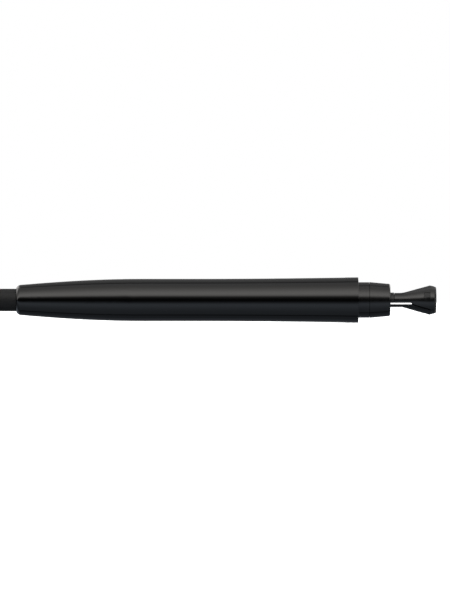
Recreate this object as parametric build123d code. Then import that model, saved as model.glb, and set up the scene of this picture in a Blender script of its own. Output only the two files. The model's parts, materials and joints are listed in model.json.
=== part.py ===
from build123d import *
import math
import os

# A lens cleaning pen, lying along X with its cap pulled off in line. Millimetres, +Z up.
# The origin is on the pen's axis at the middle of the grip, and +X points at the cleaning tip.
# Stations are given from three places: the barrel's mouth, the barrel's lip and the cap's mouth.

# ---- Clearances ----------------------------------------------------------------------------------
FIT = 0.02              # pressed or glued pieces of one body
RUN = 0.05              # radial, in a sliding or turning fit
PLAY = 0.15             # between pieces that only pass each other
PAST = 1.0              # how far a cutter reaches past what it cuts

# ---- Barrel --------------------------------------------------------------------------------------
BARREL_LENGTH = 98.0    # mouth to lip
GRIP_CENTRE = 42.0      # mouth to the middle of the straight grip
GRIP_LENGTH = 12.0
GRIP_R = 6.05
LIP_R = 6.5
SWELL_SPANS = 8         # arcs that the long swell from grip to lip is drawn in
BARREL_WALL = 1.25      # at the grip
MOUTH_ROUND = 1.25
ROUND_BULGE = (0.33, 0.62)   # a point on that round, as shares of its length and height
MOUTH_FACE = 0.03       # width of the flat round the hole
TAPER_LENGTH = 21.5     # of the steep part of the taper behind the mouth
TAPER_R = 5.72          # at its end
TAPER_SLOPE = 0.085     # at its start
FRONT_WALL = 0.57       # over the mouth bush
END_RING_LENGTH = 3.7
END_RING_WALL = 0.9
END_RING_STEP = 0.03    # how far the ring stands proud of the shell
END_RING_FACE = 0.45    # thickness of its flange at the lip
END_RING_ROUND = 0.12

# ---- Nose and the flexing seat inside it ---------------------------------------------------------
NOSE_R = 5.1
NOSE_SLEEVE_LENGTH = 3.1
NOSE_TAIL = 9.0         # the sleeve's length inside the barrel
NOSE_TAIL_WALL = 0.88
SEAM_DEPTH = 0.4
SEAM = 0.12             # groove between sleeve and cone
BEAD = 0.035            # the cone's rim stands this proud of the sleeve
NOSE_LENGTH = 9.14      # lip to the cone's face
NOSE_TAPER = 0.5        # how much narrower the cone is at its face
NOSE_ROUND = 0.45
SPIGOT_LENGTH = 2.5     # of the cone, inside the sleeve
SPIGOT_WALL = 0.58
PIVOT = 6.5             # lip to the centre of the flexing seat
BALL_R = 2.2
BALL_HALF = 1.1         # half the bush's length along the axis
SEAT_HOLE_R = 1.75      # of the holes each side of the ball
SEAT_LAND = 1.2         # from the pivot to where those holes start to widen
NOSE_HOLE_R = 2.85      # at the cone's face
RETAINER_LENGTH = 2.2
RETAINER_FLARE = 0.75   # how much its hole widens for each millimetre past the land
FLEX_DEG = 3.5          # each way, up and down and side to side

# ---- Cleaning tip --------------------------------------------------------------------------------
CORE_R = 1.3            # of the stem's core through the bush
HUB_GAP = 0.39          # the hub starts this far inside the cone's face
HUB_LENGTH = 0.4
STEM_R = 2.04
ARM_WALL = 0.77
NECK_RING_START = 9.28  # lip to the grooved ring on the stem
NECK_RING_LENGTH = 0.92
NECK_RING_PROUD = 0.15
NECK_GROOVES = 3
NECK_GROOVE_DEPTH = 0.13
NECK_LINE_WIDTH = 0.14  # of the deeper line where the ring meets the stem
NECK_LINE_DEPTH = 0.4
BELL_START = 12.69      # lip to where the flare's straight side would leave the stem
BELL_ROUND = 7.5
BELL_END = 20.6
BELL_R = 4.2
LOWER_ARM_START = 12.6
LOWER_ARM_R = 4.36      # the lower arm springs out past the head
SLOT_TOP = 0.83         # upper edge of the slot beside the lower arm, below the axis
SLOT_HEIGHT = 0.36
SLOT_BEND = 15.2        # lip to where the slot turns down along the flare
SLOT_KINK = 0.9         # length of the slot's steep turn
SLOT_KINK_SHARE = 0.28  # of its whole drop that the turn makes
SLOT_END_TOP = 2.63     # its upper and lower edges at the head, below the axis
SLOT_END_BOTTOM = 2.95
TOP_SLOT_WIDTH = 0.4
NOTCH_WIDTH = 1.6       # of the notch for the head's latch at the end of each arm
NOTCH_LENGTH = 1.85
NOTCH_TURNS = (68, -68, 180)    # degrees about X from straight up
LATCH_DEPTH = 0.14      # the latch lies this far under the arm's surface
NUT_R = 1.9
NUT_LENGTH = 1.6
NUT_GAP = 0.3           # between the nut and the retainer

HEAD_R = 4.17           # at the arms
HEAD_END_R = 3.92       # at the pad
HEAD_THICKNESS = 1.12
BOSS_START = 15.4       # lip to the end of the boss inside the flare
PAD_THICKNESS = 0.59
PAD_BACK_R = 3.89
PAD_FACE_R = 3.78
PAD_ROUND = 0.15
PAD_RIM = 0.3           # width of the flat round the hollow
PAD_HOLLOW = 0.3        # depth of the pad's concave face

# ---- Brush ---------------------------------------------------------------------------------------
BRUSH_TRAVEL = 24.0
FERRULE_R = 3.22
FERRULE_OUT = 7.0       # how far the ferrule stands out of the mouth
FERRULE_LENGTH = 18.0
FERRULE_WALL = 0.45
FERRULE_SOCKET = 6.0
FERRULE_ROUND = 0.3
ROOT_LENGTH = 4.5       # of the resin that binds the bristles
BRISTLE_LENGTH = 15.0   # past the ferrule
BRISTLE_INSET = 0.12    # how far the tuft stays inside the ferrule's radius
TUFT_FLARE = 0.05       # slope of its side where it leaves the ferrule
TUFT_WIDEST = 0.55      # where it is widest, as a share of its length
TUFT_DOME = (0.92, 0.75)    # a point on its dome, as shares of its length and radius
BUSH_START = 0.7        # mouth to the bush
BUSH_LENGTH = 6.0
BUSH_WALL = 0.5
ROD_R = 1.5
CARRIAGE_LENGTH = 12.0
CARRIAGE_ROUND = 0.4
ROD_SOCKET = 7.0        # how deep the rod sits in the carriage
TRACK_WALL = 0.55
TRACK_STOP = 1.2        # thickness of the track's front wall
STOP_ROOM = 0.6         # the carriage's room past each end of its travel
BUTTON_LENGTH = 11.0
BUTTON_WIDTH = 5.2
BUTTON_HEIGHT = 1.25
BUTTON_CORNER = 1.2
BUTTON_EDGE = 0.4
BUTTON_RIBS = 6
RIB_PITCH = 1.3
RIB_CUT = 0.35
LEG_LENGTH = 5.0
LEG_WIDTH = 3.0
LEG_FOOT = 2.2          # the leg's foot, from the axis
DETENT_LENGTH = 8.0
DETENT_WIDTH = 2.0
DETENT_STRIP = 0.25
DETENT_INSET = 0.2      # how deep the strip is let into the carriage
DETENT_BUMP_R = 0.45
POCKET_LENGTH = 1.3

# ---- Cap -----------------------------------------------------------------------------------------
CAP_OFF = 8.0           # the pulled cap's mouth, from the pad's face
CAP_WALL = 0.7          # over the grip ring
CAP_DRAFT = 0.2         # how much narrower the cap is at its crown
CAP_SEAT = 0.15         # between the lip and the seated cap
CAP_MOUTH_GAP = 0.215   # between the nose's rim and the cap's mouth
CAP_MOUTH_LAND = 0.8
CAP_MOUTH_ROUND = 0.3
CAP_BORE_ROUND = 0.1
CHAMBER_RAMP = 1.0      # length of the cone from the mouth's bore to the chamber
CHAMBER_WALL = 0.5      # least wall round the chamber
RING_LENGTH = 2.6
RING_ROUND = 0.1
RING_SLIT = 0.8
RING_BITE = 0.4         # how deep the grip ring sits in its groove
SPONGE_GAP = 0.64       # between the pad and the sponge with the cap on
SPONGE_LENGTH = 5.2
SPONGE_ROUND = 0.5
CUP_WALL = 0.65
CUP_FLOOR = 0.8
CROWN_TAIL = 3.6
CROWN_ROOM = 0.6        # between the cup's floor and the crown
CROWN_LENGTH = 4.4
CROWN_ROUND = 2.2
CROWN_LEAD = 0.4        # round on its tail
BAND_THICKNESS = 0.6

# ---- Pocket clip, drawn standing up on +Z and then turned about X --------------------------------
CLIP_TURN = 127.0       # from straight up towards -Y, which lays the clip just over the table
CLIP_WIDTH = 3.4
CLIP_THICKNESS = 0.7
CLIP_LENGTH = 26.0
CLIP_STAND = 1.2        # the pin's height over the cap
CLIP_PIN_R = 0.38
KNUCKLE_R = 0.8
KNUCKLE_WIDTH = 1.7
CLIP_TOE = 1.2          # the clip's end, past its ball
CLIP_CORNER = 0.9
CLIP_EDGE = 0.2
EAR_LENGTH = 1.8
EAR_ROUND = 0.5
EAR_GAP = 0.12          # between the ears and the cap
CLIP_BALL_R = 0.95
CLIP_HEEL = 2.3         # the clip's heel, behind the pin
CLIP_SPRING_STRIP = 0.25
CLIP_SPRING_REACH = 0.6     # the leaf's end, past the heel
CLIP_SPRING_LIP = 0.7       # height of the lip at its end

# ---- Stations and radii that follow from them ----------------------------------------------------
MOUTH_X = -GRIP_CENTRE
LIP_X = MOUTH_X + BARREL_LENGTH
BORE_R = GRIP_R - BARREL_WALL
BUSH_BORE_R = FERRULE_R + RUN
BUSH_R = BUSH_BORE_R + BUSH_WALL
MOUTH_R = BUSH_R + FRONT_WALL
BRISTLE_R = FERRULE_R - BRISTLE_INSET
TRACK_R = BORE_R - FIT
TRACK_BORE_R = TRACK_R - TRACK_WALL
CARRIAGE_R = TRACK_BORE_R - RUN
TRACK_END_X = LIP_X - NOSE_TAIL - FIT
CARRIAGE_X = TRACK_END_X - STOP_ROOM - BRUSH_TRAVEL - CARRIAGE_LENGTH
TRACK_START_X = CARRIAGE_X - STOP_ROOM - TRACK_STOP
BUTTON_X = CARRIAGE_X + CARRIAGE_LENGTH / 2
DETENT_Y = -CARRIAGE_R + DETENT_STRIP + DETENT_INSET
FERRULE_X = MOUTH_X - FERRULE_OUT
NOSE_END_R = NOSE_R - NOSE_TAPER
NOSE_BORE_R = BORE_R - FIT - NOSE_TAIL_WALL
SPIGOT_R = NOSE_BORE_R - FIT
SEAT_BORE_R = SPIGOT_R - SPIGOT_WALL
PIVOT_X = LIP_X + PIVOT
HEAD_X = LIP_X + BELL_END
PAD_X = HEAD_X + HEAD_THICKNESS
FACE_X = PAD_X + PAD_THICKNESS
CAP_X = FACE_X + CAP_OFF
CAP_MOUTH_R = NOSE_R + BEAD + CAP_MOUTH_GAP
RING_R = CAP_MOUTH_R + RING_BITE
CHAMBER_START = NOSE_LENGTH - CAP_SEAT
SWING = math.radians(FLEX_DEG * math.sqrt(2))
CHAMBER_R = LOWER_ARM_R + (BELL_END - PIVOT) * math.sin(SWING) + PLAY
CAP_R = max(RING_R + RUN + CAP_WALL, CHAMBER_R + CHAMBER_WALL + CAP_DRAFT)
CAP_END_R = CAP_R - CAP_DRAFT
SPONGE_START = FACE_X - LIP_X - CAP_SEAT + SPONGE_GAP
CAP_LENGTH = SPONGE_START + SPONGE_LENGTH + CUP_FLOOR + CROWN_ROOM + CROWN_TAIL
CLIP_X = CAP_X + CAP_LENGTH + BAND_THICKNESS / 2 + FIT
CLIP_PIVOT_R = CAP_R + CLIP_STAND
CUP_R = CHAMBER_R - FIT
SPONGE_R = CUP_R - CUP_WALL - FIT


# ---- Shape helpers -------------------------------------------------------------------------------
def turned(*outline):
    """Solid of revolution about X. A point is (x, radius), or (x, radius, corner round)."""
    face = make_face(Polyline(*[point[:2] for point in outline], close=True).edges())
    for point in outline:
        if len(point) == 3:
            corner = face.vertices().sort_by_distance(Vector(*point[:2]))[0]
            face = fillet(corner, point[2])
    return revolve(face, Axis.X)


def rod(start, end, radius):
    return turned((start, 0), (end, 0), (end, radius), (start, radius))


def tube(start, end, radius, bore):
    return turned((start, bore), (end, bore), (end, radius), (start, radius))


def block(x, y, z):
    """Box from three (low, high) pairs."""
    sizes = [high - low for low, high in (x, y, z)]
    middle = [(high + low) / 2 for low, high in (x, y, z)]
    return Pos(*middle) * Box(*sizes)


def ball(x, radius):
    """Sphere on the axis, turned about X like everything that it meets."""
    arc = ThreePointArc((x - radius, 0), (x, radius), (x + radius, 0))
    chord = Line((x - radius, 0), (x + radius, 0))
    return revolve(make_face([*arc.edges(), *chord.edges()]), Axis.X)


def about_x(shape, degrees):
    return Rot(degrees, 0, 0) * shape


def swell_r(x):
    """Radius of the long swell from the grip's end to the lip."""
    start = GRIP_LENGTH / 2
    return GRIP_R + (LIP_R - GRIP_R) * ((x - start) / (LIP_X - start)) ** 2


# ---- Barrel pieces -------------------------------------------------------------------------------
def button_slot(low_y, high_y):
    """The cutter for the button's slot, in the shell and in the track."""
    half = LEG_LENGTH / 2 + STOP_ROOM
    ends = (BUTTON_X - half, BUTTON_X + BRUSH_TRAVEL + half)
    width = LEG_WIDTH / 2 + PLAY
    return block(ends, (low_y, high_y), (-width, width))


def barrel_shell():
    ring_x = LIP_X - END_RING_LENGTH
    grip = GRIP_LENGTH / 2
    corner = MOUTH_X + MOUTH_ROUND
    hole_r = FERRULE_R + PLAY
    bush_x = MOUTH_X + BUSH_START
    bush_end = bush_x + BUSH_LENGTH
    spigot_r = swell_r(ring_x) - END_RING_WALL
    face_r = hole_r + MOUTH_FACE
    bulge_x, bulge_r = ROUND_BULGE
    taper = Spline(
        (corner, MOUTH_R),
        (MOUTH_X + TAPER_LENGTH, TAPER_R),
        (-grip, GRIP_R),
        tangents=((1, TAPER_SLOPE), (1, 0)),
        tangent_scalars=(1.0, 1.0),
    )
    pitch = (ring_x - grip) / SWELL_SPANS
    swell = []
    for span in range(SWELL_SPANS):
        x = [grip + (span + part) * pitch for part in (0, 0.5, 1)]
        swell.append(ThreePointArc(*[(at, swell_r(at)) for at in x]))
    inside = Polyline(
        (ring_x, swell_r(ring_x)),
        (ring_x, spigot_r),
        (LIP_X - END_RING_FACE, spigot_r),
        (LIP_X - END_RING_FACE, BORE_R),
        (TRACK_START_X, BORE_R),
        (bush_end, BUSH_R),
        (bush_x, BUSH_R),
        (bush_x, hole_r),
        (MOUTH_X, hole_r),
        (MOUTH_X, face_r),
    )
    corner_arc = ThreePointArc(
        (MOUTH_X, face_r),
        (MOUTH_X + MOUTH_ROUND * bulge_x, face_r + (MOUTH_R - face_r) * bulge_r),
        (corner, MOUTH_R),
    )
    edges = [taper, Line((-grip, GRIP_R), (grip, GRIP_R)), *swell, inside, corner_arc]
    outline = make_face([edge for piece in edges for edge in piece.edges()])
    return revolve(outline, Axis.X) - button_slot(BORE_R / 2, LIP_R + PAST)


def barrel_end_ring():
    start = LIP_X - END_RING_LENGTH
    start_r = swell_r(start) + END_RING_STEP
    bore = swell_r(start) - END_RING_WALL + FIT
    face = LIP_X - END_RING_FACE + FIT
    return turned(
        (start, bore),
        (face, bore),
        (face, BORE_R),
        (LIP_X, BORE_R),
        (LIP_X, LIP_R, END_RING_ROUND),
        (start, start_r),
    )


def mouth_bush():
    start = MOUTH_X + BUSH_START
    return tube(start + FIT, start + BUSH_LENGTH - FIT, BUSH_R - FIT, BUSH_BORE_R)


def slide_track():
    """Tube that the carriage runs in, with a slot for the button and two detent pockets."""
    stop_end = TRACK_START_X + TRACK_STOP
    track = tube(TRACK_START_X, TRACK_END_X, TRACK_R, TRACK_BORE_R)
    track += tube(TRACK_START_X, stop_end, TRACK_R - FIT, ROD_R + PLAY)
    track -= button_slot(0, TRACK_R + PAST)
    bump_y = (-CARRIAGE_R - DETENT_BUMP_R, 0)
    half_width = DETENT_WIDTH / 2 + PLAY
    run_half = DETENT_BUMP_R + PLAY
    run = (BUTTON_X - run_half, BUTTON_X + BRUSH_TRAVEL + run_half)
    groove = block(run, bump_y, (-half_width, half_width))
    track -= groove & rod(TRACK_START_X, TRACK_END_X, TRACK_R - TRACK_WALL / 3)
    for pocket_x in (BUTTON_X, BUTTON_X + BRUSH_TRAVEL):
        ends = (pocket_x - POCKET_LENGTH / 2, pocket_x + POCKET_LENGTH / 2)
        track -= block(ends, (-TRACK_R - PAST, -CARRIAGE_R), (-half_width, half_width))
    return track


# ---- Nose pieces ---------------------------------------------------------------------------------
def nose_sleeve():
    end = LIP_X + NOSE_SLEEVE_LENGTH
    return turned(
        (LIP_X - NOSE_TAIL, NOSE_BORE_R),
        (end, NOSE_BORE_R),
        (end, NOSE_R),
        (LIP_X + FIT, NOSE_R),
        (LIP_X + FIT, BORE_R - FIT),
        (LIP_X - NOSE_TAIL, BORE_R - FIT),
    )


def nose_cone():
    rim = LIP_X + NOSE_SLEEVE_LENGTH + SEAM
    face = LIP_X + NOSE_LENGTH
    spigot = rim - SPIGOT_LENGTH
    land = PIVOT_X + SEAT_LAND
    cone = turned(
        (spigot, SEAT_BORE_R),
        (PIVOT_X, SEAT_BORE_R),
        (PIVOT_X, SEAT_HOLE_R),
        (land, SEAT_HOLE_R),
        (face, NOSE_HOLE_R),
        (face, NOSE_END_R, NOSE_ROUND),
        (rim, NOSE_R + BEAD),
        (rim, NOSE_R - SEAM_DEPTH),
        (rim - SEAM, NOSE_R - SEAM_DEPTH),
        (rim - SEAM, SPIGOT_R),
        (spigot, SPIGOT_R),
    )
    return cone - ball(PIVOT_X, BALL_R + RUN)


def socket_retainer():
    """Ring pressed into the cone from behind, which holds the bush in its seat."""
    front = PIVOT_X - FIT
    back = front - RETAINER_LENGTH
    land = PIVOT_X - SEAT_LAND
    widened = SEAT_HOLE_R + (land - back) * RETAINER_FLARE
    ring = turned(
        (back, widened),
        (land, SEAT_HOLE_R),
        (front, SEAT_HOLE_R),
        (front, SEAT_BORE_R - FIT),
        (back, SEAT_BORE_R - FIT),
    )
    return ring - ball(PIVOT_X, BALL_R + RUN)


def flex_bush():
    """Rubber ball with an hourglass bore, which lets the tip rock both ways."""
    waist = CORE_R + RUN
    mouth = waist + BALL_HALF * math.tan(math.radians(FLEX_DEG)) + RUN
    ends = (PIVOT_X - BALL_HALF, PIVOT_X + BALL_HALF)
    body = ball(PIVOT_X, BALL_R) & rod(*ends, BALL_R)
    hourglass = turned(
        (ends[0], 0), (ends[1], 0), (ends[1], mouth), (PIVOT_X, waist), (ends[0], mouth)
    )
    return body - hourglass


# ---- Tip pieces ----------------------------------------------------------------------------------
def bell(start, bend, end_r, bend_round, inset):
    """A flared cup open at the head, or with a whole wall's inset the hollow inside it."""
    stem_r = STEM_R - inset
    end_r = end_r - inset
    past = LIP_X + BELL_END
    points = [(start, 0), (past, 0), (past, end_r)]
    bend_point = (bend, stem_r, bend_round) if bend_round else (bend, stem_r)
    return turned(*points, bend_point, (start, stem_r))


def split_line(top_gap, end_drop):
    """Points along one edge of the slot beside the lower arm, seen from the side."""
    hub = LIP_X + NOSE_LENGTH
    kink_drop = top_gap + (end_drop - top_gap) * SLOT_KINK_SHARE
    slope = (end_drop - kink_drop) / (BELL_END - SLOT_BEND - SLOT_KINK)
    return [
        (hub, -top_gap),
        (LIP_X + SLOT_BEND, -top_gap),
        (LIP_X + SLOT_BEND + SLOT_KINK, -kink_drop),
        (LIP_X + BELL_END + PAST, -end_drop - slope * PAST),
    ]


def below(edge_points):
    """Everything under an edge seen from the side, from the hub to past the head."""
    deep = -2 * HEAD_R
    first, last = edge_points[0], edge_points[-1]
    corners = [*edge_points, (last[0], deep), (first[0], deep)]
    side = make_face(Polyline(*corners, close=True).edges())
    return extrude(Plane.XZ * side, 2 * HEAD_R, both=True)


def arm_notches(radius, inner, shrink):
    """The latch notches at the arms' ends, or with a shrink the latches that fill them."""
    half = NOTCH_WIDTH / 2 - shrink
    end = LIP_X + BELL_END
    x = (end - NOTCH_LENGTH + shrink, end + FIT + shrink)
    notch = block(x, (-half, half), (inner, radius))
    return [about_x(notch, turn) for turn in NOTCH_TURNS]


def tip_holder():
    """Stem, hub and three springy arms that flare out to the head."""
    hub = LIP_X + NOSE_LENGTH - HUB_GAP
    hollow = hub + HUB_LENGTH
    bend = LIP_X + BELL_START
    nut_end = PIVOT_X - FIT - RETAINER_LENGTH - NUT_GAP - NUT_LENGTH
    upper = bell(hub, bend, BELL_R, BELL_ROUND, 0) - bell(hollow, bend, BELL_R, BELL_ROUND, ARM_WALL)
    ring = LIP_X + NECK_RING_START
    pitch = NECK_RING_LENGTH / NECK_GROOVES
    upper += tube(ring, ring + NECK_RING_LENGTH, STEM_R + NECK_RING_PROUD, STEM_R - ARM_WALL / 2)
    for groove in range(NECK_GROOVES):
        cut = ring + (groove + 0.5) * pitch
        outer = STEM_R + NECK_RING_PROUD
        upper -= tube(cut - pitch / 4, cut + pitch / 4, outer + PAST, outer - NECK_GROOVE_DEPTH)
    line = ring + NECK_RING_LENGTH
    upper -= tube(line, line + NECK_LINE_WIDTH, STEM_R + PAST, STEM_R - NECK_LINE_DEPTH)
    kink = LIP_X + LOWER_ARM_START
    lower = bell(hub, kink, LOWER_ARM_R, 0, 0) - bell(hollow, kink, LOWER_ARM_R, 0, ARM_WALL)
    slot_bottom = SLOT_TOP + SLOT_HEIGHT
    upper -= below(split_line(SLOT_TOP, SLOT_END_TOP))
    lower &= below(split_line(slot_bottom, SLOT_END_BOTTOM))
    past = LIP_X + BELL_END + PAST
    upper -= block((hollow, past), (-TOP_SLOT_WIDTH / 2, TOP_SLOT_WIDTH / 2), (0, 2 * HEAD_R))
    holder = upper + lower + rod(nut_end, hub + FIT, CORE_R)
    for notch in arm_notches(2 * HEAD_R, CORE_R, 0):
        holder -= notch
    return holder


def stem_nut():
    front = PIVOT_X - FIT - RETAINER_LENGTH - NUT_GAP
    return tube(front - NUT_LENGTH, front, NUT_R, CORE_R + FIT)


def head_disc():
    """Disc that carries the pad, with a boss that wedges the arms apart and latches in them."""
    disc = turned((HEAD_X, 0), (PAD_X, 0), (PAD_X, HEAD_END_R), (HEAD_X, HEAD_R))
    hub = LIP_X + NOSE_LENGTH
    bend = LIP_X + BELL_START
    room = rod(LIP_X + BOSS_START, HEAD_X, BELL_R)
    boss = room & bell(hub, bend, BELL_R, BELL_ROUND, ARM_WALL + FIT)
    boss += rod(LIP_X + BELL_END - PLAY, HEAD_X + FIT, BELL_R - ARM_WALL - PLAY)
    surface = bell(hub, bend, BELL_R, BELL_ROUND, LATCH_DEPTH)
    latches = [latch & surface for latch in arm_notches(2 * HEAD_R, CORE_R, FIT)]
    for latch in latches:
        boss += latch
    return disc + boss


def cleaning_pad():
    """Soft pad with a concave face, to follow a lens."""
    pad = turned((PAD_X, 0), (FACE_X, 0), (FACE_X, PAD_FACE_R, PAD_ROUND), (PAD_X, PAD_BACK_R))
    rim = PAD_FACE_R - PAD_RIM
    bowl_r = (rim**2 + PAD_HOLLOW**2) / (2 * PAD_HOLLOW)
    return pad - ball(FACE_X - PAD_HOLLOW + bowl_r, bowl_r)


# ---- Brush pieces --------------------------------------------------------------------------------
def brush_ferrule():
    end = FERRULE_X + FERRULE_LENGTH
    socket = FERRULE_X + FERRULE_SOCKET
    return turned(
        (FERRULE_X, FERRULE_R - FERRULE_WALL),
        (socket, FERRULE_R - FERRULE_WALL),
        (socket, ROD_R + FIT),
        (end, ROD_R + FIT),
        (end, FERRULE_R, FERRULE_ROUND),
        (FERRULE_X, FERRULE_R),
    )


def bristle_root():
    """Resin plug that binds the bristles' roots in the ferrule."""
    end = FERRULE_X + FERRULE_SOCKET
    return rod(end - ROOT_LENGTH, end - FIT, FERRULE_R - FERRULE_WALL - FIT)


def brush_bristles():
    """Outer shape of the tuft, from the resin to its domed end."""
    root = FERRULE_X + FERRULE_SOCKET - ROOT_LENGTH - FIT
    tip = FERRULE_X - BRISTLE_LENGTH
    neck_r = FERRULE_R - FERRULE_WALL - FIT
    dome_x, dome_r = TUFT_DOME
    tuft = Spline(
        (FERRULE_X, neck_r),
        (FERRULE_X - BRISTLE_LENGTH * TUFT_WIDEST, BRISTLE_R),
        (FERRULE_X - BRISTLE_LENGTH * dome_x, BRISTLE_R * dome_r),
        (tip, 0),
        tangents=((-1, TUFT_FLARE), (0, -1)),
    )
    rest = Polyline((tip, 0), (root, 0), (root, neck_r), (FERRULE_X, neck_r))
    return revolve(make_face([*tuft.edges(), *rest.edges()]), Axis.X)


def push_rod():
    return rod(FERRULE_X + FERRULE_SOCKET + FIT, CARRIAGE_X + ROD_SOCKET - FIT, ROD_R)


def brush_carriage():
    """Slider inside the track, with sockets for the rod, the button's leg and the detent."""
    end = CARRIAGE_X + CARRIAGE_LENGTH
    body = turned(
        (CARRIAGE_X, 0),
        (end, 0),
        (end, CARRIAGE_R, CARRIAGE_ROUND),
        (CARRIAGE_X, CARRIAGE_R, CARRIAGE_ROUND),
    )
    body -= rod(CARRIAGE_X - PAST, CARRIAGE_X + ROD_SOCKET, ROD_R + FIT)
    half = LEG_LENGTH / 2 + FIT
    width = LEG_WIDTH / 2 + FIT
    body -= block((BUTTON_X - half, BUTTON_X + half), (LEG_FOOT, LIP_R), (-width, width))
    half = DETENT_LENGTH / 2 + FIT
    width = DETENT_WIDTH / 2 + FIT
    body -= block((BUTTON_X - half, BUTTON_X + half), (-LIP_R, DETENT_Y), (-width, width))
    return body


def detent_spring():
    """Steel strip on the carriage, with a bump that drops into the track's pockets."""
    floor = DETENT_Y - FIT
    half = DETENT_LENGTH / 2
    width = DETENT_WIDTH / 2
    ends = (BUTTON_X - half, BUTTON_X + half)
    strip = block(ends, (floor - DETENT_STRIP, floor), (-width, width))
    bump = Pos(BUTTON_X, floor - DETENT_STRIP, 0) * Cylinder(DETENT_BUMP_R, DETENT_WIDTH)
    outside = block(ends, (-LIP_R, floor - DETENT_STRIP / 2), (-width, width))
    return strip + (bump & outside)


def thumb_button():
    """Ribbed button outside the slot, on a leg that reaches into the carriage."""
    clear_r = swell_r(BUTTON_X + BRUSH_TRAVEL + BUTTON_LENGTH / 2) + PLAY
    top = clear_r + BUTTON_HEIGHT
    half = BUTTON_LENGTH / 2
    ends = (BUTTON_X - half, BUTTON_X + half)
    width = BUTTON_WIDTH / 2
    pad = block(ends, (LEG_FOOT, top), (-width, width))
    pad = fillet(pad.edges().filter_by(Axis.Y), BUTTON_CORNER)
    pad = fillet(pad.faces().sort_by(Axis.Y)[-1].edges(), BUTTON_EDGE)
    pad -= rod(ends[0] - PAST, ends[1] + PAST, clear_r)
    for rib in range(BUTTON_RIBS):
        x = BUTTON_X + (rib - (BUTTON_RIBS - 1) / 2) * RIB_PITCH
        pad -= Pos(x, top, 0) * Cylinder(RIB_CUT, 2 * BUTTON_WIDTH)
    leg_half = LEG_LENGTH / 2
    leg_width = LEG_WIDTH / 2
    leg_x = (BUTTON_X - leg_half, BUTTON_X + leg_half)
    leg_y = (LEG_FOOT + FIT, clear_r + BUTTON_HEIGHT / 4)
    return pad + block(leg_x, leg_y, (-leg_width, leg_width))


# ---- Cap pieces ----------------------------------------------------------------------------------
def cap_shell():
    end = CAP_X + CAP_LENGTH
    groove = (CAP_X + CAP_MOUTH_LAND, CAP_X + CAP_MOUTH_LAND + RING_LENGTH)
    chamber = CAP_X + CHAMBER_START
    groove_r = RING_R + RUN
    return turned(
        (CAP_X, CAP_MOUTH_R, CAP_BORE_ROUND),
        (groove[0], CAP_MOUTH_R),
        (groove[0], groove_r),
        (groove[1], groove_r),
        (groove[1], CAP_MOUTH_R),
        (chamber, CAP_MOUTH_R),
        (chamber + CHAMBER_RAMP, CHAMBER_R),
        (end, CHAMBER_R),
        (end, CAP_END_R),
        (CAP_X + CAP_LENGTH / 2, CAP_R),
        (CAP_X, CAP_R, CAP_MOUTH_ROUND),
    )


def cap_grip_ring():
    """Split ring that grips the nose while the cap turns round it."""
    start = CAP_X + CAP_MOUTH_LAND + RUN
    end = start + RING_LENGTH - 2 * RUN
    bore = NOSE_R + BEAD + RUN
    corners = (start, bore, RING_ROUND), (end, bore, RING_ROUND)
    ring = turned(*corners, (end, RING_R), (start, RING_R))
    slit = block((start - PAST, end + PAST), (-RING_SLIT / 2, RING_SLIT / 2), (0, RING_R + PAST))
    return ring - slit


def sponge_cup():
    start = CAP_X + SPONGE_START
    floor = start + SPONGE_LENGTH + FIT
    end = floor + CUP_FLOOR
    bore = CUP_R - CUP_WALL
    return turned(
        (start, bore), (floor, bore), (floor, 0), (end, 0), (end, CUP_R), (start, CUP_R)
    )


def carbon_sponge():
    start = CAP_X + SPONGE_START
    end = start + SPONGE_LENGTH
    return turned((start, 0), (end, 0), (end, SPONGE_R), (start, SPONGE_R, SPONGE_ROUND))


def cap_crown():
    """Domed end plug, which traps the clip's band against the shell."""
    radius = CAP_END_R
    band_end = CAP_X + CAP_LENGTH + BAND_THICKNESS + 2 * FIT
    tail = CAP_X + CAP_LENGTH - CROWN_TAIL
    end = band_end + CROWN_LENGTH
    return turned(
        (tail, 0),
        (end, 0),
        (end, radius, CROWN_ROUND),
        (band_end, radius),
        (band_end, CUP_R),
        (tail, CUP_R, CROWN_LEAD),
    )


def clip_turned(shape):
    return about_x(shape, CLIP_TURN)


def ear_span():
    return KNUCKLE_WIDTH / 2 + RUN, CLIP_WIDTH / 2


def clip_band():
    """Thin band under the crown, with two ears for the clip's pin."""
    start = CAP_X + CAP_LENGTH + FIT
    end = start + BAND_THICKNESS
    inner, outer = ear_span()
    root = CAP_R + EAR_GAP
    top = CLIP_PIVOT_R + KNUCKLE_R
    band = tube(start, end, CAP_END_R, CHAMBER_R)
    band += block((start, end), (-outer, outer), (CHAMBER_R + PLAY, root + PLAY))
    x = (CLIP_X - EAR_LENGTH / 2, CLIP_X + EAR_LENGTH / 2)
    for side in (1, -1):
        y = sorted((side * inner, side * outer))
        ear = block(x, y, (root, top))
        band += fillet(ear.edges().filter_by(Axis.Y).group_by(Axis.Z)[-1], EAR_ROUND)
    band -= Pos(CLIP_X, 0, CLIP_PIVOT_R) * Rot(90, 0, 0) * Cylinder(CLIP_PIN_R, 3 * CLIP_WIDTH)
    return clip_turned(band)


def clip_pin():
    pin = Rot(90, 0, 0) * Cylinder(CLIP_PIN_R - FIT, CLIP_WIDTH)
    return clip_turned(Pos(CLIP_X, 0, CLIP_PIVOT_R) * pin)


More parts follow.
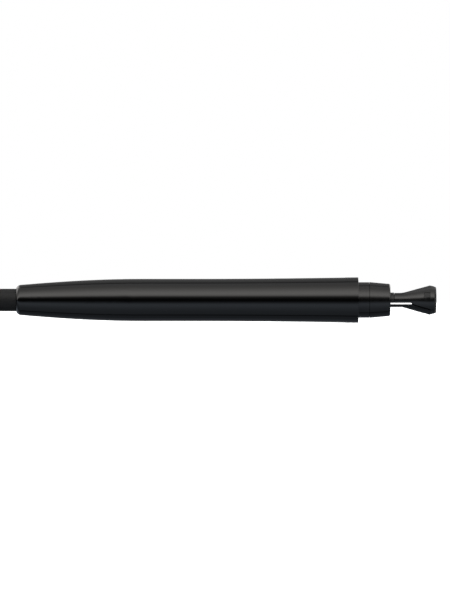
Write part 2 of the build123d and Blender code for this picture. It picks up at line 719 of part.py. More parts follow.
def pocket_clip():
    """Long flat arm that presses its ball on the cap, hinged on the pin."""
    ball_x = CLIP_X - CLIP_LENGTH
    low = CLIP_PIVOT_R - CLIP_THICKNESS / 2
    high = CLIP_PIVOT_R + CLIP_THICKNESS / 2
    shoulder = CLIP_X - EAR_LENGTH / 2 - PLAY
    wide = block((ball_x - CLIP_TOE, shoulder), (-CLIP_WIDTH / 2, CLIP_WIDTH / 2), (low, high))
    wide = fillet(wide.edges().filter_by(Axis.Z), CLIP_CORNER)
    wide = fillet(wide.faces().sort_by(Axis.Z)[-1].edges(), CLIP_EDGE)
    heel = (shoulder - PAST, CLIP_X + CLIP_HEEL)
    narrow = block(heel, (-KNUCKLE_WIDTH / 2, KNUCKLE_WIDTH / 2), (low, high))
    knuckle = Pos(CLIP_X, 0, CLIP_PIVOT_R) * Rot(90, 0, 0) * Cylinder(KNUCKLE_R, KNUCKLE_WIDTH)
    ball_z = CAP_R + PLAY + CLIP_BALL_R
    bead = Pos(ball_x, 0, ball_z) * Sphere(CLIP_BALL_R)
    reach = 2 * CLIP_BALL_R
    bead &= block((ball_x - reach, ball_x + reach), (-reach, reach), (CAP_R, high - CLIP_EDGE))
    bore = Pos(CLIP_X, 0, CLIP_PIVOT_R) * Rot(90, 0, 0) * Cylinder(CLIP_PIN_R + RUN, CLIP_WIDTH)
    return clip_turned(wide + narrow + knuckle + bead - bore)


def clip_spring():
    """Small steel leaf under the clip's heel, which pushes the arm's ball onto the cap."""
    heel = CLIP_X + CLIP_HEEL
    width = KNUCKLE_WIDTH / 2
    base = CAP_END_R + FIT
    start = CLIP_X + EAR_LENGTH / 2
    end = heel + CLIP_SPRING_REACH
    leaf = block((start, end), (-width, width), (base, base + CLIP_SPRING_STRIP))
    lip = block((end - CLIP_SPRING_STRIP, end), (-width, width), (base, base + CLIP_SPRING_LIP))
    return clip_turned(leaf + lip)


NODES = [
    barrel_shell,
    barrel_end_ring,
    mouth_bush,
    slide_track,
    nose_sleeve,
    nose_cone,
    socket_retainer,
    flex_bush,
    tip_holder,
    stem_nut,
    head_disc,
    cleaning_pad,
    brush_ferrule,
    bristle_root,
    brush_bristles,
    push_rod,
    brush_carriage,
    detent_spring,
    thumb_button,
    cap_grip_ring,
    cap_shell,
    sponge_cup,
    carbon_sponge,
    cap_crown,
    clip_band,
    clip_pin,
    pocket_clip,
    clip_spring,
]

os.makedirs("parts", exist_ok=True)
for node in NODES:
    export_step(node(), os.path.join("parts", node.__name__ + ".step"))
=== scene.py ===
import json
import math
import random

import bmesh
import bpy
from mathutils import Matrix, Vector


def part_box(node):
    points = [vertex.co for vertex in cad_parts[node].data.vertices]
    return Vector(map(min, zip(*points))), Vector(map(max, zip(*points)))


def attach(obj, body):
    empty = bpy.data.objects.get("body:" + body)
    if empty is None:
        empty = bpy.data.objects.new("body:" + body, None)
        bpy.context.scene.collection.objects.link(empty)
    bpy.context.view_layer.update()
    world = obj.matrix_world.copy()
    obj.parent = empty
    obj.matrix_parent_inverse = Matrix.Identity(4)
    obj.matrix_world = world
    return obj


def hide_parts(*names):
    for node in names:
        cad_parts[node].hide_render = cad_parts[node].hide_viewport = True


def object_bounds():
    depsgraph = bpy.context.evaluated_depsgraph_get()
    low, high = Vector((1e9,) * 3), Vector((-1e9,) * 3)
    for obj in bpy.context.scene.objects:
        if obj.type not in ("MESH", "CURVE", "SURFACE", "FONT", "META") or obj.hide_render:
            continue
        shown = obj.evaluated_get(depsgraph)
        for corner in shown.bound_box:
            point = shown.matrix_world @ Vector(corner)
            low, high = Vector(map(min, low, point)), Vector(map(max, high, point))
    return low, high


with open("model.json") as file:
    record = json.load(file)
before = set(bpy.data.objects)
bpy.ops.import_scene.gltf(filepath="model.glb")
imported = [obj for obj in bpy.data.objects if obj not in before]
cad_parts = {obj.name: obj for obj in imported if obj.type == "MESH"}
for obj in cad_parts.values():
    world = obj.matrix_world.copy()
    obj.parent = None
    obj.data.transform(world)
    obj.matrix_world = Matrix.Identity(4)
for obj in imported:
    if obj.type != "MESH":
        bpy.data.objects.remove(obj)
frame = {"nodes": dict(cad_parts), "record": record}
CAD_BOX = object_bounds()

# The looks of a black lens cleaning pen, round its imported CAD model. Metres, +X towards the cleaning tip.
MM = 0.001
NODES = frame["nodes"]
random.seed(7)

# Small features of the CAD model that a material picks out
SEAM_WIDTH = 0.12 * MM
NECK_RING_GAP = 0.14 * MM
NECK_RING_LENGTH = 0.92 * MM
NECK_LINE_WIDTH = 0.14 * MM
LATCH_SHORT = 0.02 * MM     # how far before the arms' ends the latches' scuffed grade stops
# How much rougher those features are than the plastic round them
SEAM_ROUGHER = 0.75
RING_ROUGHER = 0.22
LINE_ROUGHER = 0.7
LATCH_ROUGHER = 0.42

PLASTIC_IOR = 1.5
BLUE_CAST = 1.03        # of grey plastics
SHADED_STEEL = 0.8      # the darkest patches of steel, against its colour
SHARP_ANGLE = math.radians(28)  # edges that turn by more than this stay sharp


# ---- Materials ---------------------------------------------------------------------------------
def new_material(name, roughness, colour, metallic=0.0, specular=0.5):
    """A Principled material with its fixed values on its own sockets."""
    material = bpy.data.materials.new(name)
    material.use_nodes = True
    shader = material.node_tree.nodes["Principled BSDF"]
    shader.inputs["Base Color"].default_value = (*colour, 1.0)
    shader.inputs["Roughness"].default_value = roughness
    shader.inputs["IOR"].default_value = PLASTIC_IOR
    shader.inputs["Metallic"].default_value = metallic
    shader.inputs["Specular IOR Level"].default_value = specular
    return material


def add_node(owner, kind, **settings):
    """Adds a node to a material or the world; each setting is an input's value, or else a property."""
    node = owner.node_tree.nodes.new(kind)
    for name, value in settings.items():
        if name in node.inputs:
            node.inputs[name].default_value = value
        else:
            setattr(node, name, value)
    return node


def math_node(owner, operation, *values):
    """A maths node on numbers and other nodes' outputs."""
    made = add_node(owner, "ShaderNodeMath", operation=operation)
    for slot, value in zip(made.inputs, values):
        if isinstance(value, (int, float)):
            slot.default_value = value
        else:
            owner.node_tree.links.new(value, slot)
    return made.outputs[0]


def shader_of(material):
    """The material's Principled node."""
    return material.node_tree.nodes["Principled BSDF"]


def coordinates(material, stretch=(1, 1, 1)):
    """The piece's own coordinates, stretched, as a vector output."""
    links = material.node_tree.links
    source = add_node(material, "ShaderNodeTexCoord")
    mapping = add_node(material, "ShaderNodeMapping")
    mapping.inputs["Scale"].default_value = stretch
    links.new(source.outputs["Object"], mapping.inputs["Vector"])
    return mapping.outputs["Vector"]


def noise(material, scale, detail, stretch=(1, 1, 1)):
    """Cloudy noise from 0 to 1, finer as the scale grows."""
    node = add_node(material, "ShaderNodeTexNoise", Scale=scale, Detail=detail)
    material.node_tree.links.new(coordinates(material, stretch), node.inputs["Vector"])
    return node.outputs["Fac"]


def cells(material, scale):
    """Distance to the nearest of many scattered points."""
    node = add_node(material, "ShaderNodeTexVoronoi", Scale=scale)
    material.node_tree.links.new(coordinates(material), node.inputs["Vector"])
    return node.outputs["Distance"]


def between(owner, factor, low, high, start=0.3, end=0.7):
    """A value that goes from low to high as the factor goes from start to end."""
    node = add_node(owner, "ShaderNodeMapRange")
    for name, value in (("From Min", start), ("From Max", end), ("To Min", low), ("To Max", high)):
        node.inputs[name].default_value = value
    owner.node_tree.links.new(factor, node.inputs["Value"])
    return node.outputs["Result"]


def vary_roughness(material, factor, low, high):
    """Roughness that follows a factor."""
    value = between(material, factor, low, high)
    material.node_tree.links.new(value, shader_of(material).inputs["Roughness"])


def vary_colour(material, factor, first, second, start=0.3, end=0.7):
    """Colour that goes from the first to the second as the factor goes from start to end."""
    ramp = add_node(material, "ShaderNodeValToRGB")
    ramp.color_ramp.elements[0].position = start
    ramp.color_ramp.elements[0].color = (*first, 1.0)
    ramp.color_ramp.elements[1].position = end
    ramp.color_ramp.elements[1].color = (*second, 1.0)
    links = material.node_tree.links
    links.new(factor, ramp.inputs["Fac"])
    links.new(ramp.outputs["Color"], shader_of(material).inputs["Base Color"])


def bump(material, *layers):
    """Bumps in a row; each layer is (height output, depth in metres)."""
    links = material.node_tree.links
    below = None
    for height, depth in layers:
        node = add_node(material, "ShaderNodeBump", Strength=1.0, Distance=depth)
        links.new(height, node.inputs["Height"])
        if below is not None:
            links.new(below, node.inputs["Normal"])
        below = node.outputs["Normal"]
    links.new(below, shader_of(material).inputs["Normal"])


def roughen_where(material, stretches, low, high):
    """Noise roughness from low to high, plus an extra where x is within (start, end, extra)."""
    links = material.node_tree.links
    axes = add_node(material, "ShaderNodeSeparateXYZ")
    links.new(coordinates(material), axes.inputs["Vector"])
    total = between(material, noise(material, scale=900, detail=6.0), low, high)
    for start, end, extra in stretches:
        middle = (start + end) / 2
        inside = math_node(material, "COMPARE", axes.outputs["X"], middle, (end - start) / 2)
        total = math_node(material, "MULTIPLY_ADD", inside, extra, total)
    links.new(total, shader_of(material).inputs["Roughness"])


def grey(value):
    """A grey with a touch of blue in it."""
    return (value, value, value * BLUE_CAST)


def gloss_black():
    """Polished moulded plastic: faint mould waviness, hairline handling marks and fine dust."""
    material = new_material("gloss_black", 0.07, grey(0.0011))
    handling = noise(material, scale=900, detail=6.0, stretch=(0.12, 1, 1))
    vary_roughness(material, handling, low=0.045, high=0.10)
    dust = cells(material, scale=620)
    vary_colour(material, dust, grey(0.025), grey(0.0011), start=0.015, end=0.045)
    bump(material, (noise(material, scale=60, detail=2.0, stretch=(0.3, 1, 1)), 3e-6), (handling, 4e-7))
    return material


def satin_black():
    """Semi-gloss moulded plastic with a very fine turned grain, and a rough floor in the nose's seam."""
    material = new_material("satin_black", 0.16, grey(0.002))
    grain = noise(material, scale=2600, detail=5.0, stretch=(3.0, 0.6, 0.6))
    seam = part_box("nose_sleeve")[1].x
    roughen_where(material, [(seam, seam + SEAM_WIDTH, SEAM_ROUGHER)], low=0.11, high=0.19)
    vary_colour(material, noise(material, scale=300, detail=3.0), grey(0.0016), grey(0.003))
    bump(material, (grain, 1.2e-6), (noise(material, scale=90, detail=2.0), 3e-6))
    return material


def tip_grain(material):
    """The tip's moulded grain, in colour and height."""
    vary_colour(material, noise(material, scale=500, detail=4.0), grey(0.002), grey(0.0045))
    fine = noise(material, scale=5200, detail=4.0)
    broad = noise(material, scale=400, detail=3.0)
    bump(material, (fine, 7e-7), (broad, 1.5e-6))


def tip_black():
    """Springy satin plastic, with a matte grooved ring on its neck."""
    material = new_material("tip_black", 0.2, grey(0.003))
    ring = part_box("nose_cone")[1].x + NECK_RING_GAP
    line = ring + NECK_RING_LENGTH
    ring_stretch = (ring, line, RING_ROUGHER)
    line_stretch = (line, line + NECK_LINE_WIDTH, LINE_ROUGHER)
    roughen_where(material, [ring_stretch, line_stretch], low=0.14, high=0.24)
    tip_grain(material)
    return material


def head_black():
    """The tip's satin plastic on the rim, and a matte, scuffed grade on the latches behind it."""
    material = new_material("head_black", 0.2, grey(0.003))
    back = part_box("head_disc")[0].x
    arms_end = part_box("tip_holder")[1].x
    roughen_where(material, [(back, arms_end - LATCH_SHORT, LATCH_ROUGHER)], low=0.14, high=0.24)
    tip_grain(material)
    return material


def grip_black():
    """Semi-matte plastic with a fine moulded texture."""
    material = new_material("grip_black", 0.4, grey(0.006))
    vary_roughness(material, noise(material, scale=1500, detail=4.0), low=0.32, high=0.5)
    vary_colour(material, noise(material, scale=800, detail=3.0), grey(0.005), grey(0.009))
    bump(material, (cells(material, scale=5200), 5e-6))
    return material


def inner_grey():
    """Plain acetal of the inner parts."""
    material = new_material("inner_grey", 0.42, grey(0.05))
    vary_roughness(material, noise(material, scale=900, detail=4.0), low=0.35, high=0.5)
    vary_colour(material, noise(material, scale=350, detail=4.0), grey(0.04), grey(0.06))
    bump(material, (noise(material, scale=3500, detail=4.0), 2e-6))
    return material


def ferrule_black():
    """Matte moulded ferrule with fine lengthwise drag marks."""
    material = new_material("ferrule_black", 0.6, grey(0.003), specular=0.25)
    drag = noise(material, scale=3200, detail=5.0, stretch=(0.15, 1, 1))
    vary_roughness(material, noise(material, scale=1100, detail=5.0), low=0.5, high=0.68)
    vary_colour(material, drag, grey(0.0025), grey(0.006))
    bump(material, (drag, 4e-6), (noise(material, scale=4200, detail=4.0), 2e-6))
    return material


def flex_rubber():
    """Soft, dull rubber."""
    material = new_material("flex_rubber", 0.7, grey(0.02))
    vary_colour(material, noise(material, scale=900, detail=4.0), grey(0.015), grey(0.028))
    bump(material, (noise(material, scale=3800, detail=5.0), 5e-6))
    return material


def pad_suede():
    """Fine-napped pad, darker where the carbon sits."""
    material = new_material("pad_suede", 0.95, grey(0.02))
    nap = noise(material, scale=5200, detail=8.0)
    vary_colour(material, noise(material, scale=700, detail=6.0), grey(0.005), grey(0.014))
    shader_of(material).inputs["Sheen Weight"].default_value = 0.12
    shader_of(material).inputs["Sheen Roughness"].default_value = 0.5
    bump(material, (nap, 3e-5))
    return material


def carbon_foam():
    """Open carbon foam, each pore painted darker towards its sunken middle: painted shade in the pits that
    the bump makes.
    """
    material = new_material("carbon_foam", 0.95, grey(0.012))
    pores = cells(material, scale=2400)
    # Painted shade: the colour darkens where the same pores sink the bump deepest.
    vary_colour(material, pores, grey(0.003), grey(0.022), start=0.1, end=0.6)
    bump(material, (pores, 1.2e-4))
    return material


def bristle_hair():
    """Dark goat hair, each strand a little lighter or browner than the next."""
    material = new_material("bristle_hair", 0.38, (0.02, 0.016, 0.013))
    strand = noise(material, scale=2600, detail=2.0, stretch=(0.02, 1, 1))
    vary_colour(material, strand, (0.010, 0.008, 0.007), (0.045, 0.034, 0.026))
    vary_roughness(material, noise(material, scale=1800, detail=3.0), low=0.3, high=0.5)
    return material


def root_resin():
    """Dark resin that binds the bristles."""
    material = new_material("root_resin", 0.25, (0.03, 0.022, 0.014))
    vary_colour(material, noise(material, scale=900, detail=3.0), (0.02, 0.015, 0.01), (0.05, 0.035, 0.02))
    return material


def steel(name, colour, brushing):
    """Drawn or rolled steel, brushed along X."""
    material = new_material(name, 0.3, colour, metallic=1.0)
    lines = noise(material, scale=4200, detail=6.0, stretch=(brushing, 1, 1))
    vary_roughness(material, lines, low=0.2, high=0.42)
    shaded = [part * SHADED_STEEL for part in colour]
    vary_colour(material, noise(material, scale=500, detail=3.0), shaded, colour)
    bump(material, (lines, 2e-6))
    return material


def clip_black():
    """Black lacquer on spring steel, with a slight orange peel."""
    material = new_material("clip_black", 0.12, grey(0.003))
    shader_of(material).inputs["Coat Weight"].default_value = 0.5
    shader_of(material).inputs["Coat Roughness"].default_value = 0.05
    vary_roughness(material, noise(material, scale=1200, detail=4.0), low=0.12, high=0.2)
    vary_colour(material, noise(material, scale=600, detail=3.0), grey(0.002), grey(0.0035))
    bump(material, (noise(material, scale=700, detail=2.0), 8e-7))
    return material


MATERIALS = {
    "gloss_black": gloss_black(),
    "satin_black": satin_black(),
    "tip_black": tip_black(),
    "head_black": head_black(),
    "grip_black": grip_black(),
    "inner_grey": inner_grey(),
    "ferrule_black": ferrule_black(),
    "flex_rubber": flex_rubber(),
    "pad_suede": pad_suede(),
    "carbon_foam": carbon_foam(),
    "bristle_hair": bristle_hair(),
    "root_resin": root_resin(),
    "steel_rod": steel("steel_rod", (0.52, 0.52, 0.53), 0.1),
    "spring_steel": steel("spring_steel", (0.45, 0.45, 0.47), 0.3),
    "clip_black": clip_black(),
}
SLOT_OF = {row["node"]: row["material_slot"] for row in frame["record"]["subparts"]}


# ---- CAD nodes ---------------------------------------------------------------------------------
def finish_cad_node(name, node):
    """Gives a carried-over CAD node its material and smooth shading between its sharp edges."""
    node.data.materials.clear()
    node.data.materials.append(MATERIALS[SLOT_OF[name]])
    node.data.shade_smooth()
    node.data.set_sharp_from_angle(angle=SHARP_ANGLE)


for node_name, cad_node in NODES.items():
    finish_cad_node(node_name, cad_node)


# ---- Pieces made here ---------------------------------------------------------------------------
def piece(name, mesh, body, slot, *replaced):
    """Adds a finished mesh as a piece that rides on a body and stands for CAD nodes."""
    made = bpy.data.objects.new(name, mesh)
    bpy.context.scene.collection.objects.link(made)
    mesh.materials.append(MATERIALS[slot])
    mesh.shade_smooth()
    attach(made, body)
    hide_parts(*replaced)
    return made


def lathe(mesh, outline, segments, wobble):
    """Adds a solid of revolution about X, closed on the axis; wobble(x, r, turn) shifts x and r."""
    rings = []
    for x, r in outline[1:-1]:
        ring = []
        for step in range(segments):
            turn = math.tau * step / segments
            dx, dr = wobble(x, r, turn)
            ring.append(mesh.verts.new((x + dx, (r + dr) * math.cos(turn), (r + dr) * math.sin(turn))))
        rings.append(ring)
    ends = [mesh.verts.new((outline[0][0], 0, 0)), mesh.verts.new((outline[-1][0], 0, 0))]
    for step in range(segments):
        after = (step + 1) % segments
        mesh.faces.new((ends[0], rings[0][step], rings[0][after]))
        mesh.faces.new((ends[1], rings[-1][after], rings[-1][step]))
        for ring, following in zip(rings, rings[1:]):
            mesh.faces.new((ring[step], following[step], following[after], ring[after]))


def to_mesh(name, built):
    """Turns what was built into a mesh whose faces look outwards."""
    bmesh.ops.recalc_face_normals(built, faces=built.faces)
    mesh = bpy.data.meshes.new(name)
    built.to_mesh(mesh)
    built.free()
    return mesh


# Bristles
STRANDS = 900
STRAND_RINGS = 9
STRAND_SIDES = 5
STRAND_R = 0.05 * MM
STRAND_TAPER = 0.75     # of its thickness that a strand loses by its end
STRAND_LENGTHS = (0.965, 0.995)     # shortest and longest, as shares of the dome's length there
STRAY = 0.05 * MM       # how far the strands' ends stray outwards
DRIFT = 0.045           # and round the axis, in radians
MIDDLE = 0.03           # share of the tuft's area round its axis that is left to the core
SWELL_AT = 0.55         # the tuft is widest at this share of its length
SWELL_LOSS = 0.28       # of its widest radius that it loses from there to its end
TIP_SHARE = 0.30        # how much shorter the outermost strands are than the middle ones
TIP_POWER = 4           # how squarely the strands' ends make the dome
CORE_SHARE = 0.8        # of the tuft's radius that its core fills
CORE_LENGTH = 0.93      # of the tuft's length
CORE_POWER = 2.4
CORE_STEPS = 12
CORE_SEGMENTS = 32


def tuft_swell(share, neck, widest):
    """The tuft's radius at a share of its length, before the dome cuts the strands short."""
    if share < SWELL_AT:
        return neck + (widest - neck) * math.sin(share / SWELL_AT * math.pi / 2)
    return widest * (1 - SWELL_LOSS * ((share - SWELL_AT) / (1 - SWELL_AT)) ** 2)


def strand(built, root, length, place, turn, neck, widest):
    """One tapered hair from the root; place is its share of the tuft's radius."""
    stray = random.gauss(0, STRAY)
    drift = random.gauss(0, DRIFT)
    whole = length * (1 - TIP_SHARE * place ** TIP_POWER) * random.uniform(*STRAND_LENGTHS)
    rings = []
    for step in range(STRAND_RINGS):
        share = step / (STRAND_RINGS - 1)
        along = share * whole / length
        radius = min(place * tuft_swell(along, neck, widest) + stray * share, widest - 2 * STRAND_R)
        angle = turn + drift * share ** 2
        centre = Vector((root - share * whole, radius * math.cos(angle), radius * math.sin(angle)))
        thick = STRAND_R * (1 - STRAND_TAPER * share ** 3)
        ring = []
        for side in range(STRAND_SIDES):
            around = math.tau * side / STRAND_SIDES
            offset = Vector((0, math.cos(around), math.sin(around))) * thick
            ring.append(built.verts.new(centre + offset))
        rings.append(ring)
    for ring, following in zip(rings, rings[1:]):
        for side in range(STRAND_SIDES):
            after = (side + 1) % STRAND_SIDES
            built.faces.new((ring[side], ring[after], following[after], following[side]))
    built.faces.new(rings[0])
    built.faces.new(rings[-1])


def bristles():
    """Loose strands round a solid core, which stops light passing between them."""
    low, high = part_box("brush_bristles")
    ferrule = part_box("brush_ferrule")[0].x
    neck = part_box("bristle_root")[1].z
    widest = high.z
    length = ferrule - low.x
    built = bmesh.new()
    for _ in range(STRANDS):
        place = math.sqrt(random.uniform(MIDDLE, 1))
        strand(built, ferrule, length, place, random.uniform(0, math.tau), neck - STRAND_R, widest)
    core = [(high.x, 0), (high.x, neck), (ferrule, neck)]
    for step in range(1, CORE_STEPS):
        share = step / CORE_STEPS
        dome = math.sqrt(1 - max(0, (share - SWELL_AT) / (1 - SWELL_AT)) ** CORE_POWER)
        radius = CORE_SHARE * dome * tuft_swell(share, neck, widest)
        core.append((ferrule - share * CORE_LENGTH * length, radius))
    core.append((ferrule - CORE_LENGTH * length, 0))
    lathe(built, core, CORE_SEGMENTS, lambda *_: (0, 0))
    piece("bristle_tuft", to_mesh("bristle_tuft", built), "brush", "bristle_hair", "brush_bristles")


# Cleaning pad and carbon sponge
NAP_WAVES = (3, 5, 8, 13)   # turns round the disc
NAP_TWIST = 2.3             # how fast each wave turns with the radius, per mm
NAP_OUTWARD = 0.6           # share of the shift that also goes outwards
PAD_SIDE_STEPS = 5
PAD_ROLL_STEPS = 8
PAD_NAP = 0.012 * MM
PAD_INSET = 0.02 * MM       # inside the CAD pad, to leave room for the nap
PAD_TAPER = 0.1 * MM
PAD_ROLL = 0.24 * MM        # radius of the rolled rim
PAD_BACK_LEAD = 0.05 * MM   # edge break behind the rim, along the axis
PAD_BACK_BREAK = 0.06 * MM  # and across it
PAD_HOLLOW = 0.3 * MM
PAD_HOLLOW_POWER = 1.5
PAD_HOLLOW_STEPS = 16
PAD_SEGMENTS = 128
SPONGE_NAP = 0.03 * MM
SPONGE_INSET = 0.06 * MM
SPONGE_ROLL = 0.5 * MM
SPONGE_CROWN = 0.12 * MM    # how much its middle stands out
SPONGE_BACK_BREAK = 0.1 * MM
SPONGE_CROWN_STEPS = 14
SPONGE_ROLL_STEPS = 6
SPONGE_SEGMENTS = 96


def nap(seed, depth):
    """A small uneven shift, as on suede or cut foam."""
    waves = [(random.Random(seed + k).uniform(0, math.tau), k) for k in NAP_WAVES]

    def wobble(_, r, turn):
        shift = sum(math.sin(k * turn + phase + r / MM * NAP_TWIST * k) / k for phase, k in waves)
        return depth * shift, NAP_OUTWARD * depth * shift

    return wobble


def pad():
    """Soft disc with a rolled rim and a concave face."""
    low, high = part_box("cleaning_pad")
    back_r = high.z - PAD_INSET
    face_r = back_r - PAD_TAPER
    face = high.x - PAD_INSET
    rim = face - PAD_ROLL
    outline = [(low.x, 0), (low.x, back_r / 2), (low.x, back_r - PAD_BACK_BREAK)]
    outline.append((low.x + PAD_BACK_LEAD, back_r))
    for step in range(1, PAD_SIDE_STEPS):
        share = step / PAD_SIDE_STEPS
        outline.append((low.x + share * (rim - low.x), back_r + share * (face_r - back_r)))
    inner = face_r - PAD_ROLL
    for step in range(PAD_ROLL_STEPS + 1):
        turn = math.pi / 2 * step / PAD_ROLL_STEPS
        outline.append((rim + PAD_ROLL * math.sin(turn), inner + PAD_ROLL * math.cos(turn)))
    for step in range(1, PAD_HOLLOW_STEPS):
        share = step / PAD_HOLLOW_STEPS
        depth = PAD_HOLLOW * math.sin(math.pi / 2 * share) ** PAD_HOLLOW_POWER
        outline.append((face - depth, inner * (1 - share)))
    outline.append((face - PAD_HOLLOW, 0))
    built = bmesh.new()
    lathe(built, outline, PAD_SEGMENTS, nap(11, PAD_NAP))
    made = piece("suede_pad", to_mesh("suede_pad", built), "tip", "pad_suede", "cleaning_pad")


def sponge():
    """Carbon-filled foam disc with a worn, slightly crowned face."""
    low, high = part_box("carbon_sponge")
    radius = high.z - SPONGE_INSET
    face = low.x + SPONGE_INSET
    flat_r = radius - SPONGE_ROLL
    rim = face + SPONGE_CROWN
    outline = [(face, 0)]
    for step in range(1, SPONGE_CROWN_STEPS):
        share = step / SPONGE_CROWN_STEPS
        outline.append((face + SPONGE_CROWN * share ** 2, flat_r * share))
    for step in range(SPONGE_ROLL_STEPS + 1):
        turn = math.pi / 2 * step / SPONGE_ROLL_STEPS
        outline.append((rim + SPONGE_ROLL * (1 - math.cos(turn)), flat_r + SPONGE_ROLL * math.sin(turn)))
    outline.append((high.x - SPONGE_BACK_BREAK, radius))
    outline.append((high.x, radius - SPONGE_BACK_BREAK))
    outline.append((high.x, 0))
    built = bmesh.new()
    lathe(built, outline, SPONGE_SEGMENTS, nap(23, SPONGE_NAP))
    made = piece("sponge_disc", to_mesh("sponge_disc", built), "cap", "carbon_foam", "carbon_sponge")


bristles()
pad()
sponge()


# ---- Stage, lights and camera -------------------------------------------------------------------
FLOOR_SIZE = 24         # metres
FLOOR_DROP = 0.02 * MM  # below the pen, so that the two don't share a surface
FLOOR_WHITE = 0.9
FLOOR_VARIES = 0.01


def floor():
    """Pale floor that only the camera sees, and that takes the pen's shadow."""
    below = CAD_BOX[0].z - FLOOR_DROP
    bpy.ops.mesh.primitive_plane_add(size=FLOOR_SIZE, location=(0, 0, below))
    plane = bpy.context.object
    plane.name = "studio_floor"
    darker = [FLOOR_WHITE - FLOOR_VARIES] * 3
    lighter = [FLOOR_WHITE + FLOOR_VARIES] * 3
    material = new_material("pale_floor", 0.9, [FLOOR_WHITE] * 3, specular=0.0)
    vary_colour(material, noise(material, scale=6, detail=2.0), darker, lighter)
    plane.data.materials.append(material)
    plane.visible_glossy = False
    plane.visible_diffuse = False


WARM = (1.0, 0.975, 0.945)
NEUTRAL = (1.0, 1.0, 1.0)
COOL = (0.86, 0.97, 1.12)
# What gloss sees round the pen's long axis: degrees up from the camera's side, how bright, and the tint.
STUDIO_BANDS = [
    (-180, 0.20, NEUTRAL), (-141, 0.15, COOL), (-110, 0.15, COOL), (-96, 0.18, COOL), (-92, 0.06, COOL),
    (-89, 0.06, COOL), (-85, 0.24, COOL), (-62, 0.32, COOL), (-45, 0.46, COOL), (-32, 0.60, COOL),
    (-22, 0.56, COOL), (-16, 0.28, COOL), (-9, 0.08, COOL), (-4, 0.008, NEUTRAL), (3, 0.008, NEUTRAL),
    (8, 0.05, WARM), (14, 0.18, WARM), (19, 0.60, WARM), (25, 1.8, WARM), (33, 2.45, WARM),
    (44, 2.25, WARM), (54, 1.75, WARM), (66, 1.2, WARM), (78, 0.85, WARM), (94, 0.66, NEUTRAL),
    (101, 0.6, NEUTRAL), (104, 0.18, NEUTRAL), (108, 0.18, NEUTRAL), (112, 0.38, NEUTRAL),
    (124, 0.36, NEUTRAL), (150, 0.26, NEUTRAL), (180, 0.20, NEUTRAL),
]
BRIGHTEST = max(light for _, light, _ in STUDIO_BANDS)
# The bands stand on the camera's side only, for light that comes square to the pen's axis. Light that
# comes obliquely finds them on both sides. These are the x parts of its direction where that changes.
SQUARE_ON = 0.12
OBLIQUE = 0.4
SOFT_ABOVE = 2.2        # light on matte surfaces from straight above
SOFT_BELOW = 0.5
BACKDROP = 1.0
WHITE = (1, 1, 1, 1)


def turn_of_ray(world, axes):
    """Where a ray points round the pen's long axis, 0 to 1. Oblique rays count as from the camera's side."""
    forward = math_node(world, "MULTIPLY", axes.outputs["Y"], -1)
    both_sides = math_node(world, "ABSOLUTE", axes.outputs["Y"])
    along = math_node(world, "ABSOLUTE", axes.outputs["X"])
    obliqueness = between(world, along, 0, 1, SQUARE_ON, OBLIQUE)
    extra = math_node(world, "SUBTRACT", both_sides, forward)
    depth = math_node(world, "MULTIPLY_ADD", extra, obliqueness, forward)
    angle = math_node(world, "ARCTAN2", axes.outputs["Z"], depth)
    return between(world, angle, 0, 1, -math.pi, math.pi)


def band_light(world, turn):
    """The studio's bands, as light."""
    links = world.node_tree.links
    ramp = add_node(world, "ShaderNodeValToRGB")
    elements = ramp.color_ramp.elements
    while len(elements) < len(STUDIO_BANDS):
        elements.new(0.5)
    for element, (degrees, light, tint) in zip(elements, STUDIO_BANDS):
        element.position = (degrees + 180) / 360
        element.color = (*[light / BRIGHTEST * part for part in tint], 1)
    links.new(turn, ramp.inputs["Fac"])
    background = add_node(world, "ShaderNodeBackground", Strength=BRIGHTEST)
    links.new(ramp.outputs["Color"], background.inputs["Color"])
    return background.outputs[0]


def soft_light(world, axes):
    """White from all round, strongest from straight above."""
    background = add_node(world, "ShaderNodeBackground", Color=WHITE)
    strength = between(world, axes.outputs["Z"], SOFT_BELOW, SOFT_ABOVE, -1, 1)
    world.node_tree.links.new(strength, background.inputs["Strength"])
    return background.outputs[0]


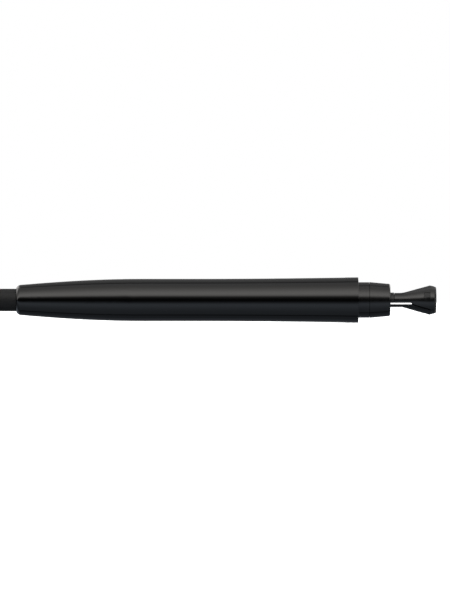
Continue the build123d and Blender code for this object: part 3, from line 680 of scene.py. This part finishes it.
def one_kind_of_ray(world, kind, theirs, others):
    """One light for a kind of ray, and another for all the other rays."""
    links = world.node_tree.links
    path = add_node(world, "ShaderNodeLightPath")
    mix = add_node(world, "ShaderNodeMixShader")
    links.new(path.outputs[kind], mix.inputs["Fac"])
    links.new(others, mix.inputs[1])
    links.new(theirs, mix.inputs[2])
    return mix.outputs[0]


def studio_world():
    """White to the camera, soft white for matte surfaces, long soft bands for gloss."""
    world = bpy.data.worlds.new("studio")
    bpy.context.scene.world = world
    world.use_nodes = True
    world.node_tree.nodes.clear()
    links = world.node_tree.links
    direction = add_node(world, "ShaderNodeTexCoord")
    axes = add_node(world, "ShaderNodeSeparateXYZ")
    links.new(direction.outputs["Generated"], axes.inputs["Vector"])
    bands = band_light(world, turn_of_ray(world, axes))
    lit = one_kind_of_ray(world, "Is Glossy Ray", bands, soft_light(world, axes))
    backdrop = add_node(world, "ShaderNodeBackground", Color=WHITE, Strength=BACKDROP)
    seen = one_kind_of_ray(world, "Is Camera Ray", backdrop.outputs[0], lit)
    output = add_node(world, "ShaderNodeOutputWorld")
    links.new(seen, output.inputs["Surface"])


PAST_MOUTH = 4.7 * MM   # how much of the ferrule is in view
PAST_PAD = 4.0 * MM
LENS = 300              # millimetres, as is the sensor
SENSOR = 36
WIDTH_TO_HEIGHT = 3 / 4
FAR_LIMIT = 60          # metres


def camera():
    """Level side view with a long lens, from the ferrule to a little past the pad."""
    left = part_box("barrel_shell")[0].x - PAST_MOUTH
    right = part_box("cleaning_pad")[1].x + PAST_PAD
    data = bpy.data.cameras.new("side_camera")
    data.lens = LENS
    data.sensor_width = SENSOR
    distance = (right - left) / WIDTH_TO_HEIGHT * LENS / SENSOR
    made = bpy.data.objects.new("side_camera", data)
    bpy.context.scene.collection.objects.link(made)
    made.location = ((left + right) / 2, -distance, 0)
    made.rotation_euler = (math.pi / 2, 0, 0)
    data.clip_end = FAR_LIMIT
    bpy.context.scene.camera = made


floor()
studio_world()
camera()
bpy.context.scene.view_settings.view_transform = "Standard"
